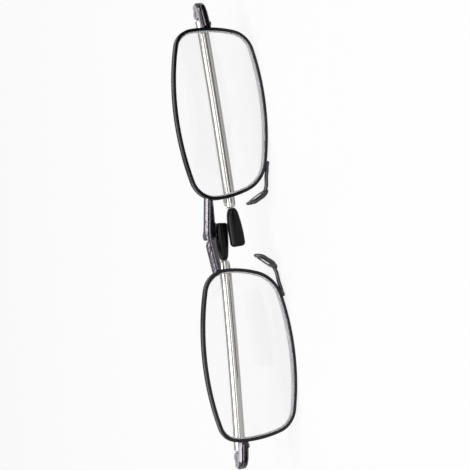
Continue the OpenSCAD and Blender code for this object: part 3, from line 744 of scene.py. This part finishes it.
def tip_size(side, s):
    """Height, depth and half thickness of a tip at a distance from its neck."""
    shape = tip_shape[side]
    for low, high in zip(shape, shape[1:]):
        if s <= high[0]:
            break
    share = min(1, max(0, (s - low[0]) / (high[0] - low[0])))
    return Vector(low[1:]).lerp(Vector(high[1:]), share)


def banded(shape, loops):
    """Joins each loop of corners to the next with a band of faces."""
    for a, b in zip(loops, loops[1:]):
        for i in range(len(a)):
            j = (i + 1) % len(a)
            shape.faces.new((a[i], a[j], b[j], b[i]))


for side in wearer_side:
    length, end_radius = tip_end[side]
    stations = []
    for step in range(1, tip_rings + 1):
        s = (length - end_radius) * (step / tip_rings) ** 1.5
        reach = min(tip_blend, s)
        spread = [tip_size(side, s + reach * near) for near in (-1, -0.5, 0, 0.5, 1)]
        stations.append((s, sum(spread, Vector((0, 0, 0))) / len(spread)))
    last = stations[-1][1]
    for step in range(1, tip_end_rings + 1):
        angle = math.pi / 2 * step / tip_end_rings
        drop = end_radius * (1 - math.cos(angle))
        s = length + end_radius * (math.sin(angle) - 1)
        stations.append((s, last - Vector((drop, drop, drop))))
    shape = bmesh.new()
    loops = []
    for s, (up, down, half) in stations:
        round_r = min(half, (up + down) / 2)
        straight = (up + down) / 2 - round_r
        middle = (up - down) / 2
        loop = []
        for step in range(tip_round_steps):
            angle = 2 * math.pi * (step + 0.5) / tip_round_steps
            y = half * math.cos(angle)
            z = middle + round_r * math.sin(angle) + math.copysign(straight, math.sin(angle))
            loop.append(shape.verts.new((tip_start + s, y, z)))
        loops.append(loop)
    banded(shape, loops)
    shape.faces.new(loops[0])
    shape.faces.new(loops[-1])
    mesh = bpy.data.meshes.new(side + "_tip")
    shape.to_mesh(mesh)
    shape.free()
    tip = new_piece(side + "_moulded_tip", mesh)
    mesh.materials.append(black_plastic)
    mesh.transform(temple_frame(side))
    mesh.transform(on_stand)
    tidied(tip, 50)
    fitted(tip, side + "_slider", "tip_plastic", side + "_temple_tip")


# Pad arms. Each is a plated wire that is soldered along the rim's lower nasal corner, swings
# back to the pad and ends in a flat pressed paddle with a window, moulded into the pad.

# Plated wire: darker than the bridge and half glossy, with clouds of 0.7 mm in its gloss
arm_nickel, tree, shader = finish_named("plated_arm_wire", "#5C595E", Metallic=1.0)
place = lay(tree, "ShaderNodeTexCoord")
cloud = lay(
    tree, "ShaderNodeTexNoise", {"Scale": 1500, "Detail": 3}, {"Vector": place.outputs["Object"]}
)
gloss = lay(
    tree, "ShaderNodeMapRange", {"To Min": 0.14, "To Max": 0.24}, {"Value": cloud.outputs["Fac"]}
)
tree.links.new(gloss.outputs["Result"], shader.inputs["Roughness"])

arm_wire = 1.15
arm_bend = 1.3
# How far out along the rim's wall the arm lies, for its solder, and at which share of its depth
solder_swell = 1.05
solder_gap = 0.02
arm_seat = 0.55
solder_bead = 1.08
pad_foot = Vector((11.35, 5.8, -14.18))
pad_half = 4.1
# The wearer's right pad has been bent further in
pad_lean = {"left": 28, "right": 37}
pad_splay = 8


def pad_frame(side):
    """X points away from the nose, Y back, Z up along the pad, from its middle."""
    lean = Matrix.Rotation(math.radians(-pad_lean[side]), 4, "Y")
    splay = Matrix.Rotation(math.radians(-pad_splay), 4, "Z")
    return Matrix.Translation(pad_foot) @ lean @ Matrix.Translation((0, 0, pad_half)) @ splay


def arm_foot(angle):
    """A place of the arm beside the rim's lower nasal corner, at an angle round that corner."""
    reach = outline_corners[3] + wire_width / 2 + arm_wire / 2 * solder_swell + solder_gap
    turn = math.radians(angle)
    p = corner_centre(3) + reach * Vector((math.cos(turn), math.sin(turn)))
    return Vector((lens_offset + p.x, sag(p.x, p.y) + wire_depth * arm_seat, p.y))


arm_route = [
    arm_foot(260),
    arm_foot(255),
    arm_foot(250) + Vector((-0.5, 0.05, -0.15)),
    Vector((15.65, 4.2, -13.4)),
    Vector((12.95, 5, -13.5)),
]

# The tree that bends the round wire along its route
arm_tree = bpy.data.node_groups.new("pad_arm_wire", "GeometryNodeTree")
arm_tree.interface.new_socket("Route", in_out="INPUT", socket_type="NodeSocketGeometry")
radius_input = arm_tree.interface.new_socket(
    "Wire radius", in_out="INPUT", socket_type="NodeSocketFloat"
)
bend_input = arm_tree.interface.new_socket(
    "Bend radius", in_out="INPUT", socket_type="NodeSocketFloat"
)
arm_tree.interface.new_socket("Arm", in_out="OUTPUT", socket_type="NodeSocketGeometry")
given = lay(arm_tree, "NodeGroupInput")
route = lay(arm_tree, "GeometryNodeMeshToCurve", links={"Mesh": given.outputs["Route"]})
bent = lay(
    arm_tree, "GeometryNodeFilletCurve", {"Count": 8, "Limit Radius": True},
    {"Curve": route.outputs["Curve"], "Radius": given.outputs["Bend radius"]}, mode="POLY",
)
ring = lay(
    arm_tree, "GeometryNodeCurvePrimitiveCircle", {"Resolution": 24},
    {"Radius": given.outputs["Wire radius"]}, mode="RADIUS",
)
swept = lay(
    arm_tree, "GeometryNodeCurveToMesh", {"Fill Caps": True},
    {"Curve": bent.outputs["Curve"], "Profile Curve": ring.outputs["Curve"]},
)
real = lay(arm_tree, "GeometryNodeRealizeInstances", links={"Geometry": swept.outputs["Mesh"]})
plated = lay(
    arm_tree, "GeometryNodeSetMaterial", {"Material": arm_nickel},
    {"Geometry": real.outputs["Geometry"]},
)
lay(arm_tree, "NodeGroupOutput", links={"Arm": plated.outputs["Geometry"]})


def oval_points(low_r, high_r, half):
    """Outline with two round ends, seen along the pad's X, as Y and Z."""
    steps = 24
    low = [math.pi + math.pi * step / steps for step in range(steps + 1)]
    high = [math.pi * step / steps for step in range(steps + 1)]
    return [Vector((low_r * math.cos(a), low_r - half + low_r * math.sin(a))) for a in low] + [
        Vector((high_r * math.cos(a), half - high_r + high_r * math.sin(a))) for a in high
    ]


paddle_half = 3.3
paddle_wide = 1.25
paddle_thick = 0.5
paddle_drop = 0.3
# The window as shares of the paddle's width and height, and how far it lies above its middle
window_wide = 0.42
window_tall = 0.5
window_up = 0.35
# Where the wire enters the pad and where it ends in it, from the pad's foot
wire_in_pad = (Vector((0.6, 0, 0.7 - pad_half)), Vector((0, 0, 2.2 - pad_half)))
for side, sign in wearer_side.items():
    in_pad = pad_frame(side)
    route = arm_route + [in_pad @ spot for spot in wire_in_pad]
    route_mesh = bpy.data.meshes.new(side + "_arm_route")
    route_mesh.from_pydata(route, [(i, i + 1) for i in range(len(route) - 1)], [])
    arm = new_piece(side + "_bent_pad_arm", route_mesh)
    bending = arm.modifiers.new("wire", "NODES")
    bending.node_group = arm_tree
    bending[radius_input.identifier] = arm_wire / 2
    bending[bend_input.identifier] = arm_bend
    applied(arm)
    shape = bmesh.new()
    shape.from_mesh(arm.data)
    # The wire's end at the rim is covered by a round bead of solder
    bmesh.ops.create_uvsphere(
        shape, u_segments=20, v_segments=12, radius=arm_wire / 2 * solder_bead,
        matrix=Matrix.Translation(route[0]),
    )
    # The paddle is an oval plate with an oval window
    outer = oval_points(paddle_wide, paddle_wide * 0.9, paddle_half)
    window = [Vector((p.x * window_wide, p.y * window_tall + window_up)) for p in outer]
    placed = in_pad @ Matrix.Translation((0, 0, -paddle_drop))
    rows = []
    for points, depth in ((window, -1), (outer, -1), (outer, 1), (window, 1)):
        rows.append([
            shape.verts.new(placed @ Vector((depth * paddle_thick / 2, p.x, p.y))) for p in points
        ])
    banded(shape, rows + rows[:1])
    bmesh.ops.recalc_face_normals(shape, faces=shape.faces)
    shape.to_mesh(arm.data)
    shape.free()
    stood(arm.data, sign)
    tidied(arm, 40)
    fitted(arm, side + "_front", "arm_metal", side + "_pad_arm")


# Nose pads. Each is moulded from clear soft vinyl round its paddle, flat behind and crowned
# towards the nose, with a rounded edge.

# Clear soft vinyl: water clear and smooth, with a faint skin of 0.6 mm ripples
clear_vinyl, tree, shader = finish_named(
    "clear_soft_vinyl", "#F4F6F5", Roughness=0.02, IOR=1.46, Transmission_Weight=1.0
)
place = lay(tree, "ShaderNodeTexCoord")
skin = lay(
    tree, "ShaderNodeTexNoise", {"Scale": 1600, "Detail": 2}, {"Vector": place.outputs["Object"]}
)
relief = lay(
    tree, "ShaderNodeBump", {"Strength": 0.05, "Distance": 0.00003},
    {"Height": skin.outputs["Fac"]},
)
tree.links.new(relief.outputs["Normal"], shader.inputs["Normal"])

pad_thick = 1.7
pad_low_radius = 2.1
pad_high_radius = 1.7
pad_crown = 9
# The higher this power, the squarer the pad's edge
edge_power = 3.2
pad_rows = 22
for side, sign in wearer_side.items():
    in_pad = pad_frame(side)
    outline = oval_points(pad_low_radius, pad_high_radius, pad_half)
    count = len(outline)
    shape = bmesh.new()
    loops = []
    for row in range(1, pad_rows):
        angle = math.pi * row / pad_rows
        spread = math.sin(angle) ** (2 / edge_power)
        level = math.copysign(abs(math.cos(angle)) ** (2 / edge_power), -math.cos(angle))
        loop = []
        for p in outline:
            q = p * spread
            nose = pad_crown - math.sqrt(pad_crown ** 2 - q.length_squared) - pad_thick / 2
            back = pad_thick / 2
            x = (nose + back) / 2 + level * (back - nose) / 2
            loop.append(shape.verts.new(in_pad @ Vector((x, q.x, q.y))))
        loops.append(loop)
    banded(shape, loops)
    for loop, x in ((loops[0], -pad_thick / 2), (loops[-1], pad_thick / 2)):
        pole = shape.verts.new(in_pad @ Vector((x, 0, 0)))
        for i in range(count):
            shape.faces.new((loop[i], loop[(i + 1) % count], pole))
    mesh = bpy.data.meshes.new(side + "_pad")
    shape.to_mesh(mesh)
    shape.free()
    pad = new_piece(side + "_moulded_pad", mesh)
    mesh.materials.append(clear_vinyl)
    stood(mesh, sign)
    tidied(pad, 60)
    fitted(pad, side + "_front", "pad_plastic", side + "_nose_pad")


# Studio. A pale floor and a white surround, with long soft lamps. Dark flags near the floor
# and light cards behind show only in the gloss of the metals.

# Half the floor's side in metres and the share of plain white in it, then the strengths of the
# surround in gloss, of the world's own light, of the dark flags and of the light cards
floor_half = 3
white_share = 0.85
gloss_tone = 0.45
world_glow = 0.35
flag_tone = 0.02
card_tone = 1.9


def sight_of(tree):
    """The share that sees plain white, and its tone: darker for rays that metal has turned."""
    sight = lay(tree, "ShaderNodeLightPath")
    seen = lay(
        tree, "ShaderNodeMath", operation="MAXIMUM",
        links={0: sight.outputs["Is Camera Ray"], 1: sight.outputs["Is Glossy Ray"]},
    )
    through = lay(
        tree, "ShaderNodeMath", operation="MAXIMUM",
        links={0: seen.outputs["Value"], 1: sight.outputs["Is Transmission Ray"]},
    )
    mirrored = lay(
        tree, "ShaderNodeMath", {1: 0.5}, {0: sight.outputs["Glossy Depth"]},
        operation="GREATER_THAN",
    )
    tone = lay(
        tree, "ShaderNodeMapRange", {"To Min": 1.0, "To Max": gloss_tone},
        {"Value": mirrored.outputs["Value"]},
    )
    return through.outputs["Value"], tone.outputs["Result"]


floor_mesh = bpy.data.meshes.new("floor")
floor_mesh.from_pydata(
    [
        (-floor_half, -floor_half, 0), (floor_half, -floor_half, 0),
        (floor_half, floor_half, 0), (-floor_half, floor_half, 0),
    ],
    [],
    [(0, 1, 2, 3)],
)
floor = new_piece("floor", floor_mesh)
# White paper: matt, plain white to the camera and through glass, and darker in metal
paper, tree, shader = finish_named("white_paper", "#F2F2F2", Roughness=0.9)
through, tone = sight_of(tree)
share = lay(tree, "ShaderNodeMath", {1: white_share}, {0: through}, operation="MULTIPLY")
glow = lay(tree, "ShaderNodeEmission", {"Color": (1, 1, 1, 1)}, {"Strength": tone})
both = lay(
    tree, "ShaderNodeMixShader",
    links={0: share.outputs["Value"], 1: shader.outputs["BSDF"], 2: glow.outputs["Emission"]},
)
tree.links.new(both.outputs["Shader"], tree.nodes["Material Output"].inputs["Surface"])
floor_mesh.materials.append(paper)


def flag(name, low, high, tone):
    """A card between two corners that shows only in the gloss of metal, also through a lens."""
    corners = [low, (high[0], low[1], low[2]), high, (low[0], high[1], high[2])]
    mesh = bpy.data.meshes.new(name)
    mesh.from_pydata([tuple(c * 0.001 for c in corner) for corner in corners], [], [(0, 1, 2, 3)])
    card = new_piece(name, mesh)
    material = bpy.data.materials.new(name + "_card")
    material.use_nodes = True
    card_tree = material.node_tree
    card_tree.nodes.clear()
    sight = lay(card_tree, "ShaderNodeLightPath")
    mirrored = lay(
        card_tree, "ShaderNodeMath", {1: 0.5}, {0: sight.outputs["Glossy Depth"]},
        operation="GREATER_THAN",
    )
    unseen = lay(card_tree, "ShaderNodeBsdfTransparent")
    lit = lay(card_tree, "ShaderNodeEmission", {"Color": (1, 1, 1, 1), "Strength": tone})
    both = lay(
        card_tree, "ShaderNodeMixShader",
        links={0: mirrored.outputs["Value"], 1: unseen.outputs["BSDF"], 2: lit.outputs["Emission"]},
    )
    lay(card_tree, "ShaderNodeOutputMaterial", links={"Surface": both.outputs["Shader"]})
    mesh.materials.append(material)
    card.visible_camera = False
    card.visible_diffuse = False
    card.visible_shadow = False
    card.visible_volume_scatter = False


for name, low, high, tone in (
    ("front_flag", (4, -80, 0.4), (120, -27, 0.4), flag_tone),
    ("bridge_flag", (-42, -31, 0.6), (-14, -15, 0.6), flag_tone),
    ("left_end_flag", (72, -60, 0.8), (130, -6, 0.8), flag_tone),
    ("right_end_flag", (-130, -34, 0.8), (-72, -20, 0.8), flag_tone),
    ("left_back_card", (15, 150, 40), (200, 150, 105), card_tone),
    ("right_back_card", (-200, 150, 40), (-15, 150, 105), card_tone),
):
    flag(name, low, high, tone)

world = bpy.data.worlds.new("surround")
bpy.context.scene.world = world
world.use_nodes = True
tree = world.node_tree
tree.nodes.clear()
through, tone = sight_of(tree)
soft = lay(tree, "ShaderNodeBackground", {"Color": (1, 1, 1, 1), "Strength": world_glow})
white = lay(tree, "ShaderNodeBackground", {"Color": (1, 1, 1, 1)}, {"Strength": tone})
both = lay(
    tree, "ShaderNodeMixShader",
    links={0: through, 1: soft.outputs["Background"], 2: white.outputs["Background"]},
)
lay(tree, "ShaderNodeOutputWorld", links={"Surface": both.outputs["Shader"]})

# Each lamp's place and size in metres and its power, all aimed at the middle of the glasses
lamp_aim = Vector((0, 0, 0.015))
for name, place, size, power in (
    ("key_lamp", (0.02, -0.36, 0.52), (1.4, 0.1), 1.6),
    ("over_lamp", (0.02, -0.144, 0.64), (1.4, 0.14), 2.6),
    ("low_lamp", (0.02, -0.6, 0.19), (1.4, 0.06), 0.8),
    ("fill_lamp", (-0.35, 0.25, 0.4), (0.3, 0.3), 0.3),
):
    lamp = bpy.data.lights.new(name, "AREA")
    lamp.shape = "RECTANGLE"
    lamp.size, lamp.size_y = size
    lamp.energy = power
    holder = bpy.data.objects.new(name, lamp)
    bpy.context.scene.collection.objects.link(holder)
    holder.location = place
    holder.rotation_mode = "QUATERNION"
    holder.rotation_quaternion = (lamp_aim - Vector(place)).to_track_quat("-Z", "Y")

# The photograph's view: it looks down at the front of the glasses, and lies on its side. The
# distance is in millimetres, and the scale is in pixels for each of them at that distance. The
# offset is in pixels, right and down from the picture's middle to the place between the lenses.
pitch = math.radians(25.2542)
turn = math.radians(-1.2082)
roll = math.radians(96.2085)
distance = 390.4693
scale = 3.4701
offset_x, offset_y = 2.6735, -2.688
picture_width = 470
film_width = 36
about = Matrix.Rotation(turn, 3, "Z")
ahead = about @ Vector((0, math.cos(pitch), -math.sin(pitch)))
right = about @ Vector((1, 0, 0))
upward = about @ Vector((0, math.sin(pitch), math.cos(pitch)))
picture_right = math.cos(roll) * right - math.sin(roll) * upward
picture_up = math.sin(roll) * right + math.cos(roll) * upward
stand = -distance * ahead - offset_x / scale * picture_right + offset_y / scale * picture_up
eye = bpy.data.cameras.new("camera")
eye.sensor_width = film_width
eye.lens = scale * distance / picture_width * film_width
eye.clip_start = 0.01
eye.clip_end = 10
camera = bpy.data.objects.new("camera", eye)
bpy.context.scene.collection.objects.link(camera)
turned = Matrix((picture_right, picture_up, -ahead)).transposed().to_4x4()
stand += Vector((0, front_plane, lens_level))
camera.matrix_world = Matrix.Translation(stand * 0.001) @ turned
bpy.context.scene.camera = camera
bpy.context.scene.view_settings.view_transform = "Standard"
